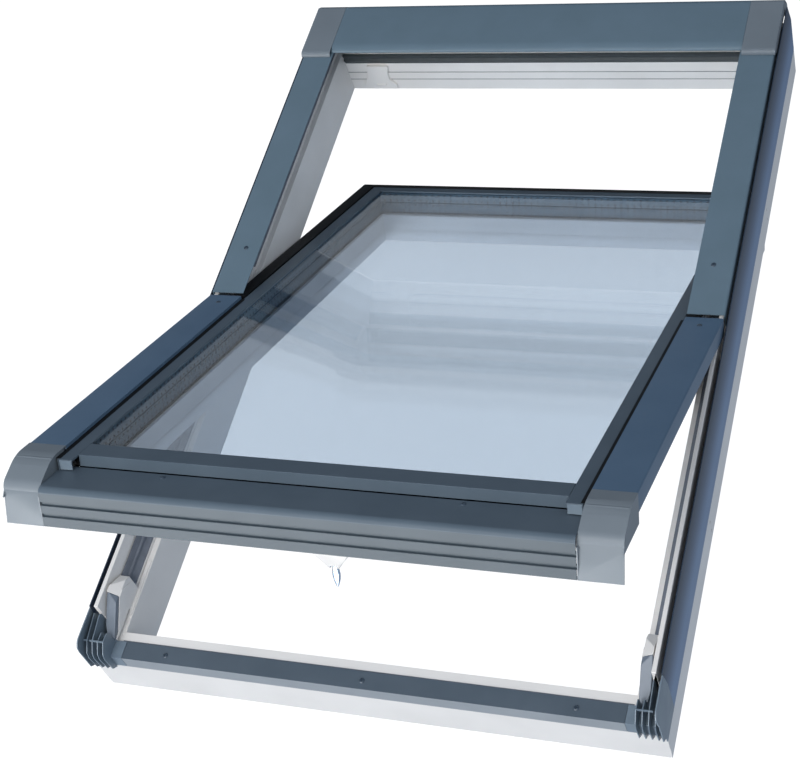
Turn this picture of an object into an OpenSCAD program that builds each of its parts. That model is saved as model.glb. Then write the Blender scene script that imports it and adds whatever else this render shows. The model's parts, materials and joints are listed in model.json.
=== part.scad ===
// Centre-pivot roof window with its frame. Millimetres.
// X runs across the window, +Y up the slope, +Z out of the roof.
// The origin is the centre of the frame's room-side face.

/* [Frame] */
// Width over the frame
frame_w = 780; // [760:1:800]
// Length over the frame
frame_l = 1178; // [1160:1:1190]
// Width of a frame bar
bar_w = 40; // [40:1:42]
// Height of the ledge round the opening
ledge_z = 81; // [80:1:82]
// Height of the rib that the seals and clips sit on
rib_z = 136; // [135:0.5:136]
// Wall of the hollow bars
wall = 3; // [2.5:0.5:3]

/* [Claddings] */
// Outer face of the side covers
cover_z = 141; // [141:0.5:143]
// Distance from the middle to the covers' inner edge
cover_in = 330; // [330:1:331]
// Distance from the middle to the covers' outer face
cover_out = 381; // [381:0.5:382]
// Depth of the covers' outer skirt
skirt = 25; // [20:1:26]
// Sheet thickness
sheet_t = 1.2; // [1:0.1:1.4]
// Top face of the hood
hood_z = 149; // [149:1:152]

/* [Sash] */
// Half width of the sash
sash_x = 347.5; // [346:0.5:348]
// Half width of the opening inside the sash
sash_in = 304; // [302:1:305]
// Room-side face of the sash
sash_z = 41; // [38:1:44]
// Glass: half width, half length and thickness of a pane
glass_x = 322.5; // [322:0.5:323]
glass_y = 529; // [528:0.5:529.5]
pane_t = 4; // [3:0.5:4]
// Height of a spacer between panes
spacer_t = 16; // [12:1:16]

/* [Pivot] */
// How far the sash stands open
open_angle = 30.7; // [0:0.1:110]
// Pivot axis along the slope and above the room side
pivot_y = -13; // [-14:0.5:-12]
pivot_z = 147; // [146:0.5:148]

/* [Hidden] */
$fn = 48;

half_w = frame_w / 2;
half_l = frame_l / 2;
in_x = half_w - bar_w;          // inner face of the side bars
in_y = half_l - bar_w;          // inner face of the end bars
clad_t = 1.5;                   // side cladding sheet
clad_low = 48;                  // lower edge of the side cladding
bevel_z = 110;                  // where the side cladding turns inwards
groove_z = 104;                 // floor of the groove outside the rib
corner_y = -in_y + 6;           // where the corner pieces start
cap_gap = 14;                   // room beside the sash's corner caps
strip_z = ledge_z + 3;          // top of the bottom rail's cover
strip_low = ledge_z - 20;       // lower edge of its front flange
strip_in = 15;                  // its distance from the inner face
strip_x = 342;                  // its half length, up to the corner pieces
fin_y = -half_l - 11;           // front of the fins
guide_y = -517;                 // joint between guide block and guide cap
fin_knee = [-583.5, 115];        // where the inner fins turn down
steel_box = [24, 48];
steel_z = 28;
fix_y = 270;                    // fixing screws for the roof brackets
strip_screws = [-280, 0, 280];  // screws of the bottom strip
fix_z = [14, 34];
fix_r = 2.25;

cover_end_y = -11;              // lower end of the fixed side covers
hood_front_y = 488.5;
hood_cap_y = 479;
hood_side = 333;                // joint between the hood and its end caps
hood_back_y = 586;

sash_low_y = -537;
sash_top_y = 540;
rebate_z = 87;
nose_z = 88;                    // underside of the bottom rail's outer ledge
upstand_x = 328.5;
upstand_z = 131.5;
gasket_t = 2.5;
sash_chamber = rebate_z - sash_z - 2 * wall;
glass_z = rebate_z + gasket_t;
glass_top_z = glass_z + 3 * pane_t + 2 * spacer_t;
spacer_w = 6.5;
seal_w = 6.5;
bead_z = 136;
bead_t = 1.4;
bead_x = [307, 327];
top_bead_y = [515, 534];
low_bead_y = [-544, -512];
inner_y = 509;                  // inner faces of the sash's end bars

clad_y = -547;                  // front cladding starts behind the bottom bead
front_y = -608;
front_top_z = 121;
front_low_z = 69;
slope_y = -566;                 // where the corner caps start to slope
cap_y = -532;                   // where the corner caps start
sash_cover_y = -16;

hinge_r = [24, 32.2];           // groove of the pivot track
play = 0.3;
hinge_y = [-58, 32];

pin_y = -523;                   // pin of the handle, sash closed
pin_z = 13;
pin_r = 2;
bolt_x = 8.5;                   // handle and bolt sit a little off the middle
handle_low = 4;                 // lower edge of the handle's base
slot_w = 9.2;

cladding_colour = [0.345, 0.416, 0.478];
light_cladding = [0.45, 0.52, 0.58];
plastic_white = [0.93, 0.93, 0.94];
rubber_black = [0.06, 0.06, 0.065];
seal_grey = [0.45, 0.47, 0.5];
guide_grey = [0.46, 0.49, 0.53];
steel_grey = [0.66, 0.68, 0.7];

// ---- helpers -------------------------------------------------------------

function unit(v) = v / norm(v);
function side(a, b) = let(d = unit(b - a)) [-d[1], d[0]];
function corner(p, i, t) =
  let(last = len(p) - 1,
      a = side(p[max(i - 1, 0)], p[max(i, 1)]),
      b = side(p[min(i, last - 1)], p[min(i + 1, last)]),
      m = unit(a + b))
  p[i] + m * t / (m * a);
// Points of an arc round c from angle a to angle b
function arc(c, r, a, b, n = 6) = [for (i = [0:n]) c + r * [cos(a + (b - a) * i / n),
    sin(a + (b - a) * i / n)]];

// Closed outline of a sheet: its outer line, and that line moved t to the left
module band(p, t) {
  polygon(concat(p, [for (i = [len(p) - 1:-1:0]) corner(p, i, t)]));
}

// A section drawn in X and Z, carried from y0 to y1
module along_y(y0, y1) {
  translate([0, y1, 0]) rotate([90, 0, 0]) linear_extrude(y1 - y0) children();
}

// A section drawn in Y and Z, carried from x0 to x1
module along_x(x0, x1) {
  translate([x0, 0, 0]) rotate([90, 0, 90]) linear_extrude(x1 - x0) children();
}

module left() { mirror([1, 0, 0]) children(); }

// Brings what is drawn closed to the angle at which the sash stands
module on_sash() {
  translate([0, pivot_y, pivot_z]) rotate([-open_angle, 0, 0]) translate([0, -pivot_y, -pivot_z]) children();
}

// Plan of a mitred end bar: y at its outer and inner faces, half widths there
module mitre_plan(y_out, y_in, x_out, x_in) {
  polygon([[-x_out, y_out], [x_out, y_out], [x_in, y_in], [-x_in, y_in]]);
}

module ring(x, y, w, z0, z1) {
  translate([0, 0, z0]) linear_extrude(z1 - z0) difference() {
    square([2 * x, 2 * y], center = true);
    square([2 * (x - w), 2 * (y - w)], center = true);
  }
}

module screw(x, y, z, depth, head_r = 3.6) {
  translate([x, y, z]) difference() {
    union() {
      cylinder(h = 1.6, r1 = head_r, r2 = head_r - 0.9);
      translate([0, 0, -depth]) cylinder(h = depth, r = 1.6);
    }
    for (a = [0, 90]) rotate([0, 0, a]) translate([-2, -0.45, 0.6]) cube([4, 0.9, 2]);
  }
}

// ---- fixed frame ---------------------------------------------------------

// Section of a frame bar: first value from the inner face outwards, second up. Only the top bar's
// inner face is grooved
module bar_section(grooves = []) {
  difference() {
    polygon([[0, 0], [bar_w, 0], [bar_w, clad_low], [bar_w - clad_t, clad_low], [bar_w - clad_t, groove_z],
      [28.8, groove_z], [28.8, rib_z], [23, rib_z], [23, bevel_z], [16, ledge_z + 11], [8, ledge_z + 4],
      [8, ledge_z], [0, ledge_z]]);
    translate([wall, steel_z]) square(steel_box);
    translate([wall, wall]) square([steel_box[0], steel_z - 2 * wall]);
    translate([wall + steel_box[0] + wall, wall]) square([6, groove_z - 2 * wall]);
    translate([21, ledge_z + 2]) square([5, 18]);
    for (z = grooves) translate([-1, z]) square([2, 1.6]);
  }
}

module bar_at_x() { along_y(-half_l, half_l) translate([in_x, 0]) children(); }

module frame_stile() {
  color(plastic_white) difference() {
    bar_at_x() bar_section();
    translate([0, 0, -1]) linear_extrude(cover_z + 2) mitre_plan(half_l, in_y, half_w, in_x);
    translate([0, 0, -1]) linear_extrude(strip_z - clad_t + 1) mitre_plan(-half_l, -in_y, half_w, in_x);
    translate([in_x + 8, -half_l - 1, strip_z - clad_t]) cube([bar_w, corner_y + half_l + 1, cover_z]);
    translate([in_x + 28.8, corner_y - 1, groove_z - 5]) cube([bar_w - clad_t - 28.8, cap_gap + 1, 10]);
    for (y = [-fix_y, fix_y], z = fix_z)
      translate([half_w + 1, y, z]) rotate([0, -90, 0]) cylinder(h = 6, r = fix_r);
  }
}

module frame_right_stile() frame_stile();
module frame_left_stile() left() frame_stile();

module frame_top_rail() {
  color(plastic_white) intersection() {
    along_x(-half_w, half_w) translate([in_y, 0]) bar_section([22, 38, 66]);
    translate([0, 0, -1]) linear_extrude(cover_z + 2) mitre_plan(half_l, in_y, half_w, in_x);
  }
}

module bottom_section() {
  difference() {
    polygon([[0, 0], [bar_w, 0], [bar_w, strip_low], [bar_w - clad_t, strip_low], [bar_w - clad_t,
        strip_z - clad_t],
      [strip_in, strip_z - clad_t], [strip_in, ledge_z], [0, ledge_z]]);
    translate([wall, steel_z]) square(steel_box);
    translate([wall, wall]) square([steel_box[0], steel_z - 2 * wall]);
    translate([wall + steel_box[0] + wall, wall]) square([6, ledge_z - 2 * wall]);
    for (z = [16, 32]) translate([-1, z]) square([1.6, 1]);
  }
}

module frame_bottom_rail() {
  color(plastic_white) difference() {
    intersection() {
      along_x(-half_w, half_w) mirror([1, 0]) translate([in_y, 0]) bottom_section();
      translate([0, 0, -1]) linear_extrude(cover_z) mitre_plan(-half_l, -in_y, half_w, in_x);
    }
    translate([bolt_x - 13, -in_y - wall - 1, 53]) cube([26, wall + 2, 12]);
    for (x = [-half_w - 1, half_w - clad_t]) translate([x, -half_l - 1, clad_low]) cube([clad_t + 1, 10, 60]);
    for (x = strip_screws) translate([x, -half_l + 12, strip_z - 9]) cylinder(h = 11, r = 1.8);
  }
}

module steel_tube() {
  difference() {
    square(steel_box);
    translate([1.5, 1.5]) square([steel_box[0] - 3, steel_box[1] - 3]);
  }
}

module side_steel() {
  color(steel_grey) along_y(-in_y + 10, in_y - 10) translate([in_x + wall, steel_z]) steel_tube();
}
module frame_right_steel() side_steel();
module frame_left_steel() left() side_steel();
module frame_top_steel() {
  color(steel_grey) along_x(-in_x + 10, in_x - 10) translate([in_y + wall, steel_z]) steel_tube();
}
module frame_bottom_steel() {
  color(steel_grey) difference() {
    along_x(-in_x + 10, in_x - 10) mirror([1, 0]) translate([in_y + wall, steel_z]) steel_tube();
    translate([bolt_x - 13, -in_y - wall - 14, 53]) cube([26, 15, 12]);
  }
}

// ---- hood and fixed covers -----------------------------------------------

function hood_line(y0, r) = concat(
  arc([y0 + r, hood_z - r], r, 180, 90),
  [[hood_back_y, hood_z], [hood_back_y + 9, hood_z - 6], [hood_back_y + 21, cover_z - 16],
      [hood_back_y + 23, 99]]);

module hood_panel() {
  color(cladding_colour) along_x(-hood_side + 0.3, hood_side - 0.3) band(hood_line(hood_front_y,
      hood_z - cover_z - 0.3), -1.5);
}

module hood_cap() {
  r = 13;
  outer = cover_out + 1.7;
  color(light_cladding) {
    along_x(hood_side, outer) band(hood_line(hood_cap_y, hood_z - cover_z - 0.4), -1.5);
    along_x(outer - 1.5, outer) polygon([[hood_cap_y + 0.2, cover_z + 2], [hood_cap_y + 4, hood_z - 2],
      [hood_back_y, hood_z - 1], [hood_back_y + 20, cover_z - 15], [hood_back_y + 22, 99],
      [hood_back_y + 14, 99], [hood_back_y + 4, cover_z - r], [hood_cap_y + 14, cover_z - 8]]);
  }
}
module hood_right_cap() hood_cap();
module hood_left_cap() left() hood_cap();

module hood_brackets() {
  color(steel_grey) for (x = [-357, -220, 0, 220, 357])
    translate([x - 12, in_y + 23, rib_z]) cube([24, 5.8, hood_z - 1.5 - rib_z]);
}

function cover_line() = concat([[cover_in, cover_z]],
  arc([cover_out - 2, cover_z - 2], 2, 90, 0, 4), [[cover_out, cover_z - skirt]]);

module upper_cover() {
  color(cladding_colour) difference() {
    along_y(cover_end_y, 560) band(cover_line(), -sheet_t);
    translate([353, 75, 0]) cylinder(h = 200, r = 1.7);
  }
}
module upper_right_cover() upper_cover();
module upper_left_cover() left() upper_cover();

module cover_clips() {
  color(rubber_black) for (x = [-1, 1], y = [40, 180, 320, 460])
    translate([x * (in_x + 25.9) - 2.9, y, rib_z]) cube([5.8, 30, cover_z - sheet_t - rib_z]);
}

function clad_line() = [[bar_w - 3.8, rib_z - 1], [bar_w, bevel_z], [bar_w, clad_low]];

module side_cladding() {
  color(cladding_colour) along_y(corner_y, half_l) translate([in_x, 0]) band(clad_line(), -clad_t);
}
module right_side_cladding() side_cladding();
module left_side_cladding() left() side_cladding();

module strip_section() {
  mirror([1, 0]) translate([in_y, 0]) band([[strip_in, strip_z], [bar_w, strip_z], [bar_w, strip_low]],
      -clad_t);
}

module bottom_rail_cover() {
  color(cladding_colour) difference() {
    along_x(-strip_x, strip_x) strip_section();
    for (x = strip_screws) translate([x, -half_l + 12, strip_z - 8]) cylinder(h = 10, r = 1.7);
  }
}

// Outline of a fin in Y and Z
module fin_outline(top, low, r) {
  polygon(concat([[corner_y - 0.2, low], [corner_y - 0.2, top]], arc([fin_y + r, top - r], r, 90, 180),
    [[fin_y, 70], [-half_l - 0.2, 58], [-half_l - 0.2, low]]));
}

// The fins inside it stay below the sash's corner cap
module inner_fin(start, top, low) {
  polygon([[start, low], [start, top - 6], [start - 3, top], fin_knee,
    [fin_knee[0] - 13, fin_knee[1] - 12], [fin_knee[0] - 15.5, 94], [fin_y + 2.5, 66], [-half_l - 0.2,
        57], [-half_l - 0.2, low]]);
}

module corner_fins() {
  base = strip_z - clad_t;
  color(cladding_colour) {
    intersection() {
      along_y(fin_y, corner_y - 0.2) translate([in_x, 0]) band(clad_line(), -clad_t);
      along_x(in_x, half_w + 1) fin_outline(rib_z - 4, clad_low, 12);
    }
    for (u = [8, 16]) along_x(in_x + u + 0.2, in_x + u + 1.3) inner_fin(guide_y - 49.4, 114, base);
    for (u = [24, 32]) along_x(in_x + u + 0.2, in_x + u + 1.3) inner_fin(corner_y - 0.2, 122, base);
    along_x(strip_x + 0.2, half_w - clad_t) strip_section();
    translate([in_x + 8.2, -half_l, base]) cube([bar_w - 9.7, corner_y - 0.2 + half_l, 4]);
    for (u = [[8.2, 21.3], [32.2, 6.3]])
      translate([in_x + u[0], fin_knee[0], fin_knee[1] - 3]) cube([u[1], 1.5, 3]);
  }
}
module right_corner_fins() corner_fins();
module left_corner_fins() left() corner_fins();

// ---- closing guides, seals, pivots of the frame --------------------------

// Section above the frame's ledge, from the inner side outwards
module guide_section(low_top, high_top) {
  polygon([[6, 86.8], [9.8, 86.8], [16, ledge_z + 11.2], [20.5, 104], [20.5, high_top], [6, low_top]]);
}

// Takes away what lies above a slope through y, z
module above_slope(y, z, tilt) {
  translate([in_x, y, z]) rotate([tilt, 0, 0]) translate([-1, -100, 0]) cube([40, 200, 60]);
}

module guide_block() {
  color(guide_grey) difference() {
    along_y(guide_y - 49, guide_y) translate([in_x, 0]) guide_section(122.4, 132.5);
    above_slope(guide_y, 131, 37);
  }
}
module right_guide_block() guide_block();
module left_guide_block() left() guide_block();

module guide_cap() {
  color(plastic_white) {
    difference() {
      along_y(guide_y + 0.2, guide_y + 35) translate([in_x, 0]) guide_section(121, 132.5);
      above_slope(guide_y + 10, 132, -35);
    }
    along_x(in_x + 5.2, in_x + 6) polygon([[guide_y + 34, 86.8], [guide_y + 34, 104], [guide_y + 24, 112],
      [guide_y + 10, 121], [guide_y, 121], [guide_y - 38, 91], [guide_y - 48, 90], [guide_y - 48, 86.8]]);
    translate([in_x + 1.5, 0, ledge_z]) linear_extrude(1.5) {
      translate([2.75, guide_y - 7]) circle(r = 2.75);
      translate([0, guide_y - 7]) square([5.5, 86]);
    }
    translate([in_x + 5.2, guide_y + 0.2, ledge_z]) cube([0.8, 34, 8]);
  }
}
module right_guide_cap() guide_cap();
module left_guide_cap() left() guide_cap();

module slope_seal() {
  polygon([[9, ledge_z + 4.9], [16, ledge_z + 11], [22.6, bevel_z - 1], [20.4, bevel_z + 1.5], [17, 102],
    [14.2, 101], [14.6, 95], [8.6, 89.4]]);
}

module lower_frame_seal() {
  color(seal_grey) {
    for (k = [0, 1]) mirror([k, 0, 0]) {
      along_y(guide_y + 35.2, hinge_y[0] - 4) translate([in_x, 0]) slope_seal();
      along_y(corner_y + cap_gap, hinge_y[0] - 4) translate([in_x + 29, groove_z]) square([8, 5]);
    }
    along_x(-in_x + 1, in_x - 1) polygon([[-in_y - strip_in, ledge_z], [-in_y - strip_in, strip_z - clad_t],
      [-in_y - strip_in + 2.5, ledge_z + 0.8], [-in_y - strip_in + 2.5, ledge_z]]);
  }
}

module upper_frame_seal() {
  color(seal_grey) {
    for (k = [0, 1]) mirror([k, 0, 0])
      along_y(hinge_y[1] + 50, in_y - 2) translate([in_x, 0]) slope_seal();
    along_x(-in_x + 1, in_x - 1) polygon([[in_y, 59], [in_y, ledge_z], [in_y - 3.5, ledge_z - 2],
        [in_y - 1.6, 72],
      [in_y - 4.5, 68], [in_y - 1.2, 62]]);
    along_x(-in_x - 8, in_x + 8) translate([in_y, 0]) slope_seal();
  }
}

module frame_hinge() {
  color(steel_grey) {
    difference() {
      translate([in_x + 12, hinge_y[0], bevel_z]) cube([11, hinge_y[1] - hinge_y[0], 24]);
      translate([in_x + 11, pivot_y, pivot_z]) rotate([0, 90, 0]) difference() {
        cylinder(h = 8, r = hinge_r[1]);
        translate([0, 0, -1]) cylinder(h = 10, r = hinge_r[0]);
      }
    }
    translate([in_x + 20, hinge_y[1], bevel_z + 4]) cube([3, 46, 16]);
    translate([in_x + 17, hinge_y[1] + 32, bevel_z + 12]) rotate([0, 90, 0]) cylinder(h = 3, r = 4.5);
  }
}
module right_frame_hinge() frame_hinge();
module left_frame_hinge() left() frame_hinge();

module frame_cover_screws() {
  color(steel_grey) {
    for (x = [-353, 353]) screw(x, 75, cover_z, 5);
    for (x = strip_screws) screw(x, -half_l + 12, strip_z, 7);
  }
}

module top_stop_block() {
  color(plastic_white) difference() {
    along_x(-341, -269) polygon([[in_y, 5], [in_y, 56], [in_y - 3, 56], [in_y - 5, 52], [in_y - 5, 9],
        [in_y - 3, 5]]);
    translate([-318, in_y - 6, 20]) cube([30, 3, 10]);
    translate([-284, in_y + 1, 42]) rotate([90, 0, 0]) cylinder(h = 12, r = 3);
  }
}

module latch_keeper() {
  color(steel_grey) difference() {
    translate([bolt_x - 30, -in_y, 48]) cube([60, 2, 22]);
    translate([bolt_x - 12, -in_y - 1, 54]) cube([24, 4, 10]);
  }
}

// ---- sash ----------------------------------------------------------------

module sash_stile() {
  color(plastic_white) on_sash() difference() {
    along_y(sash_low_y, sash_top_y) difference() {
      polygon([[sash_in, sash_z], [sash_x, sash_z], [sash_x, upstand_z], [upstand_x, upstand_z],
        [upstand_x, rebate_z], [sash_in, rebate_z]]);
      translate([sash_in + wall, sash_z + wall]) square([16, sash_chamber]);
      translate([sash_in + wall + 19, sash_z + wall]) square([18, sash_chamber]);
      translate([upstand_x + wall, rebate_z]) square([sash_x - upstand_x - 2 * wall,
          upstand_z - rebate_z - wall]);
      translate([sash_in - 1, 60]) square([1.6, 1]);
    }
    translate([0, 0, sash_z - 1]) linear_extrude(rebate_z - sash_z + 1) {
      mitre_plan(sash_top_y, inner_y, sash_x, sash_in);
      mitre_plan(sash_low_y, -inner_y, sash_x, sash_in);
    }
  }
}
module sash_right_stile() sash_stile();
module sash_left_stile() left() sash_stile();

module sash_top_rail() {
  color(plastic_white) on_sash() intersection() {
    along_x(-sash_x, sash_x) difference() {
      polygon([[inner_y, sash_z], [sash_top_y, sash_z], [sash_top_y, upstand_z], [535, upstand_z],
        [535, rebate_z], [inner_y, rebate_z]]);
      translate([inner_y + wall, sash_z + wall]) square([25, sash_chamber]);
      translate([inner_y - 1, 60]) square([1.6, 1]);
    }
    union() {
      translate([0, 0, sash_z - 1]) linear_extrude(rebate_z - sash_z + 1) mitre_plan(sash_top_y, inner_y,
          sash_x, sash_in);
      translate([-upstand_x, inner_y, rebate_z]) cube([2 * upstand_x, 60, 60]);
    }
  }
}

module sash_bottom_rail() {
  color(plastic_white) on_sash() difference() {
    intersection() {
      along_x(-sash_x, sash_x) difference() {
        polygon([[-inner_y, sash_z], [sash_low_y, sash_z], [sash_low_y, nose_z], [-572, nose_z],
          [-572, 118], [-545.5, 119], [-545.5, nose_z + wall], [-533, nose_z + wall], [-533, rebate_z],
          [-inner_y, rebate_z]]);
        translate([sash_low_y + wall, sash_z + wall]) square([22, 8]);
        translate([sash_low_y + wall, 66]) square([22, rebate_z - wall - 66]);
        translate([-569, nose_z + wall]) square([20.5, 24]);
      }
      union() {
        translate([0, 0, sash_z - 1]) linear_extrude(rebate_z - sash_z + 1)
          mitre_plan(sash_low_y, -inner_y, sash_x, sash_in);
        translate([-upstand_x, -600, rebate_z]) cube([2 * upstand_x, 100, 60]);
        translate([-upstand_x, -600, nose_z]) cube([2 * upstand_x, 600 + sash_low_y, 60]);
      }
    }
    translate([bolt_x - 10.5, sash_low_y - 1, 55.5]) cube([21, 30, 7]);
    translate([bolt_x - 3, pin_y - 8, sash_z - 1]) cube([6, 16, 20]);
    for (x = [-188, 188]) translate([x, -556, 100]) cylinder(h = 30, r = 1.6);
  }
}

module pane(z) { on_sash() translate([-glass_x, -glass_y, z]) cube([2 * glass_x, 2 * glass_y, pane_t]); }
module inner_pane() color([0.8, 0.9, 0.95, 0.4]) pane(glass_z);
module middle_pane() color([0.8, 0.9, 0.95, 0.4]) pane(glass_z + pane_t + spacer_t);
module outer_pane() color([0.8, 0.9, 0.95, 0.4]) pane(glass_z + 2 * pane_t + 2 * spacer_t);

module spacer(z) {
  color([0.42, 0.5, 0.57]) on_sash() ring(glass_x - seal_w, glass_y - seal_w, spacer_w, z, z + spacer_t);
}
module inner_spacer() spacer(glass_z + pane_t);
module outer_spacer() spacer(glass_z + 2 * pane_t + spacer_t);

module edge_sealant() {
  color(rubber_black) on_sash() for (z = [glass_z + pane_t, glass_z + 2 * pane_t + spacer_t])
    ring(glass_x, glass_y, seal_w, z, z + spacer_t);
}

module glazing_gasket() {
  color(rubber_black) on_sash() ring(glass_x - 2, glass_y - 2, 12, rebate_z, glass_z);
}

// Inverted channel over the edge of the glass: a is the glass side, b the outer side
module bead_section(a, b, low) {
  polygon([[a, glass_top_z], [a + sign(b - a) * bead_t, glass_top_z], [a + sign(b - a) * bead_t,
      bead_z - bead_t],
    [b - sign(b - a) * bead_t, bead_z - bead_t], [b - sign(b - a) * bead_t, low], [b, low], [b, bead_z],
        [a, bead_z]]);
}

module bead_corner_cut() {
  translate([0, 0, 100]) linear_extrude(60)
    polygon([[bead_x[0], top_bead_y[0]], [bead_x[1], top_bead_y[1]], [bead_x[1] + 2, top_bead_y[1] + 9],
      [bead_x[0] - 400, 560], [bead_x[0] - 400, top_bead_y[0]]]);
}

module side_bead() {
  color(cladding_colour) on_sash() difference() {
    along_y(-560, top_bead_y[1]) bead_section(bead_x[0], bead_x[1], 121);
    bead_corner_cut();
  }
}
module right_bead() side_bead();
module left_bead() left() side_bead();

module top_bead() {
  color(cladding_colour) on_sash() intersection() {
    along_x(-bead_x[1], bead_x[1]) bead_section(top_bead_y[0], top_bead_y[1], 112);
    translate([0, 0, 100]) linear_extrude(60)
      mitre_plan(top_bead_y[1], top_bead_y[0], bead_x[1], bead_x[0]);
  }
}

module bottom_bead() {
  color(cladding_colour) on_sash() along_x(-bead_x[0] + 0.2, bead_x[0] - 0.2)
    bead_section(low_bead_y[1], low_bead_y[0], 121);
}

module sash_outer_gasket() {
  color(rubber_black) on_sash() {
    for (k = [0, 1]) mirror([k, 0, 0])
      along_y(-7, sash_top_y) polygon([[upstand_x + 0.5, upstand_z], [sash_x, upstand_z], [sash_x,
          cover_z - 2.2],
        [sash_x - 4, cover_z - 1.7], [sash_x - 9, 137.6], [upstand_x + 0.5, 137]]);
    along_x(-upstand_x - 0.5, upstand_x + 0.5) polygon([[535, upstand_z], [sash_top_y, upstand_z],
      [sash_top_y, cover_z - 0.8], [sash_top_y - 3, cover_z - 0.3], [535, 137.6]]);
  }
}

// ---- sash claddings ------------------------------------------------------

module sash_cover() {
  color(cladding_colour) on_sash() difference() {
    union() {
      along_y(cap_y + 0.2, sash_cover_y) band(cover_line(), -sheet_t);
      along_y(cap_y + 0.2, sash_cover_y) translate([cover_in, upstand_z]) square([sheet_t,
          cover_z - upstand_z - 0.4]);
    }
    translate([354, -44, 100]) cylinder(h = 60, r = 1.7);
  }
}
module sash_right_cover() sash_cover();
module sash_left_cover() left() sash_cover();

function cap_line() = concat([[cap_y, cover_z], [slope_y, cover_z]],
  arc([slope_y - 21, cover_z - 30], 15, 118, 176), [[front_y, front_low_z]]);

module cap_cheek(start_y, low) {
  polygon([[start_y, low], [start_y, cover_z - 0.4], [slope_y, cover_z - 0.4], [slope_y - 27, cover_z - 17],
    [front_y + 0.6, cover_z - 38], [front_y + 0.6, low], [front_y + 6, low]]);
}

module sash_cap() {
  color(light_cladding) on_sash() {
    along_x(cover_in, cover_out + 0.4) band(cap_line(), 1.5);
    along_x(cover_out - 1.1, cover_out + 0.4) cap_cheek(cap_y, cover_z - 38);
    along_x(cover_in, cover_in + 1.5) cap_cheek(sash_low_y - 1, cover_z - 38);
    translate([cover_in, front_y + 0.5, front_low_z]) cube([1.5, 5, 40]);
  }
}
module sash_right_cap() sash_cap();
module sash_left_cap() left() sash_cap();

function groove(z) = [[front_y, z + 1.6], [front_y + 2.6, z + 1.2], [front_y + 2.6, z - 1.2], [front_y,
    z - 1.6]];
function front_line() = concat([[clad_y, front_top_z]], arc([front_y + 14, front_top_z - 14.5], 14, 90, 180),
  groove(100), groove(85), [[front_y, front_low_z], [front_y + 7, front_low_z]]);

module sash_front_cladding() {
  color(light_cladding) on_sash() difference() {
    along_x(-cover_in + 0.4, cover_in - 0.4) band(front_line(), 1.5);
    for (x = [-188, 188]) translate([x, -556, 100]) cylinder(h = 30, r = 1.7);
  }
}

module sash_cover_screws() {
  color(steel_grey) on_sash() {
    for (x = [-354, 354]) screw(x, -44, cover_z, 5);
    for (x = [-188, 188]) screw(x, -556, front_top_z, 10);
  }
}

module sash_hinge() {
  color(steel_grey) on_sash() {
    translate([sash_x, pivot_y - 38, 104]) cube([3.5, 76, 26]);
    translate([sash_x + 3.5, pivot_y, pivot_z]) rotate([0, 90, 0]) rotate([0, 0, -35])
      rotate_extrude(angle = 70) translate([hinge_r[0] + play, 0])
        square([hinge_r[1] - hinge_r[0] - 2 * play, in_x + 18 - sash_x - 3.5]);
  }
}
module right_sash_hinge() sash_hinge();
module left_sash_hinge() left() sash_hinge();

// ---- handle and latch ----------------------------------------------------

module handle_base() {
  wing = [[27, sash_z], [25.5, 31], [18, 19], [8.5, 7.5], [6.5, handle_low]];
  color(plastic_white) on_sash() translate([bolt_x, 0, 0]) difference() {
    intersection() {
      translate([0, -510, 0]) rotate([90, 0, 0]) linear_extrude(26)
        polygon(concat(wing, [for (i = [len(wing) - 1:-1:0]) [-wing[i][0], wing[i][1]]]));
      along_x(-28, 28) polygon([[-536, sash_z], [-510, sash_z], [-510.5, 28], [pin_y + 6, handle_low],
        [pin_y - 6, handle_low], [-535.5, 26]]);
    }
    translate([-slot_w / 2, pin_y - 7, handle_low - 1]) cube([slot_w, 30, 19]);
    translate([-30, pin_y, pin_z]) rotate([0, 90, 0]) cylinder(h = 60, r = pin_r);
    translate([-3, pin_y - 8, 20]) cube([6, 16, 30]);
  }
}

module handle_lever() {
  leaf = [[4.1, pin_z], [4.1, pin_z - 12], [4.9, pin_z - 17], [5.4, pin_z - 23], [3.6, pin_z - 30], [0.9,
      pin_z - 36.5]];
  color(steel_grey) on_sash() translate([bolt_x, 0, 0]) {
    translate([-10, pin_y, pin_z]) rotate([0, 90, 0]) cylinder(h = 20, r = pin_r - 0.05);
    translate([-4.1, pin_y, pin_z]) rotate([0, 90, 0]) cylinder(h = 8.2, r = 4);
    translate([0, pin_y + 2.2, 0]) rotate([90, 0, 0]) linear_extrude(4.4)
      polygon(concat(leaf, [for (i = [len(leaf) - 1:-1:0]) [-leaf[i][0], leaf[i][1]]]));
  }
}

module latch_bolt() {
  color(steel_grey) on_sash() translate([bolt_x - 10, sash_low_y + 1, 56]) cube([20, 26, 6]);
}

// ---- what is drawn -------------------------------------------------------

frame_top_rail();
frame_bottom_rail();
frame_left_stile();
frame_right_stile();
frame_top_steel();
frame_bottom_steel();
frame_left_steel();
frame_right_steel();
hood_panel();
hood_left_cap();
hood_right_cap();
hood_brackets();
upper_left_cover();
upper_right_cover();
cover_clips();
left_side_cladding();
right_side_cladding();
bottom_rail_cover();
left_corner_fins();
right_corner_fins();
left_guide_block();
right_guide_block();
left_guide_cap();
right_guide_cap();
lower_frame_seal();
upper_frame_seal();
left_frame_hinge();
right_frame_hinge();
frame_cover_screws();
top_stop_block();
latch_keeper();
sash_top_rail();
sash_bottom_rail();
sash_left_stile();
sash_right_stile();
outer_pane();
middle_pane();
inner_pane();
outer_spacer();
inner_spacer();
edge_sealant();
glazing_gasket();
top_bead();
bottom_bead();
left_bead();
right_bead();
sash_outer_gasket();
sash_left_cover();
sash_right_cover();
sash_left_cap();
sash_right_cap();
sash_front_cladding();
sash_cover_screws();
left_sash_hinge();
right_sash_hinge();
handle_base();
handle_lever();
latch_bolt();
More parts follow.
